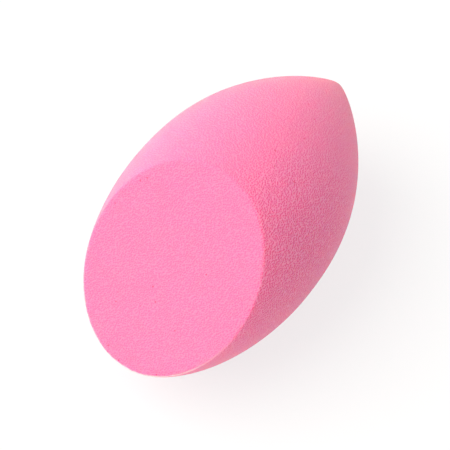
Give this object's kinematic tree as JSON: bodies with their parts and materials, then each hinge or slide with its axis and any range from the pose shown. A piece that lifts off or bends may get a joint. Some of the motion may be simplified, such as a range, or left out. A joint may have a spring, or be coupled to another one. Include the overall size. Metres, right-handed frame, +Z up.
{
  "type": "makeup puff",
  "caption": "Make-up blending sponge of soft pink foam: a pointed egg with one slanted flat face, used damp or dry to dab and smooth make-up.",
  "frame": {"origin": "on the table, below the middle of the sponge as it lies on its belly", "axes": "+Y along the sponge towards its pointed nose, +Z up, so that the slanted cut faces up and towards -Y; the sponge is the same on both sides of the plane x = 0"},
  "size_m": [0.04, 0.0668, 0.0395],
  "materials": {
    "foam": "matt, fine-celled soft foam, dyed pink right through"
  },
  "bodies": {
    "root": {"sponge_body": "foam"}
  },
  "joints": []
}
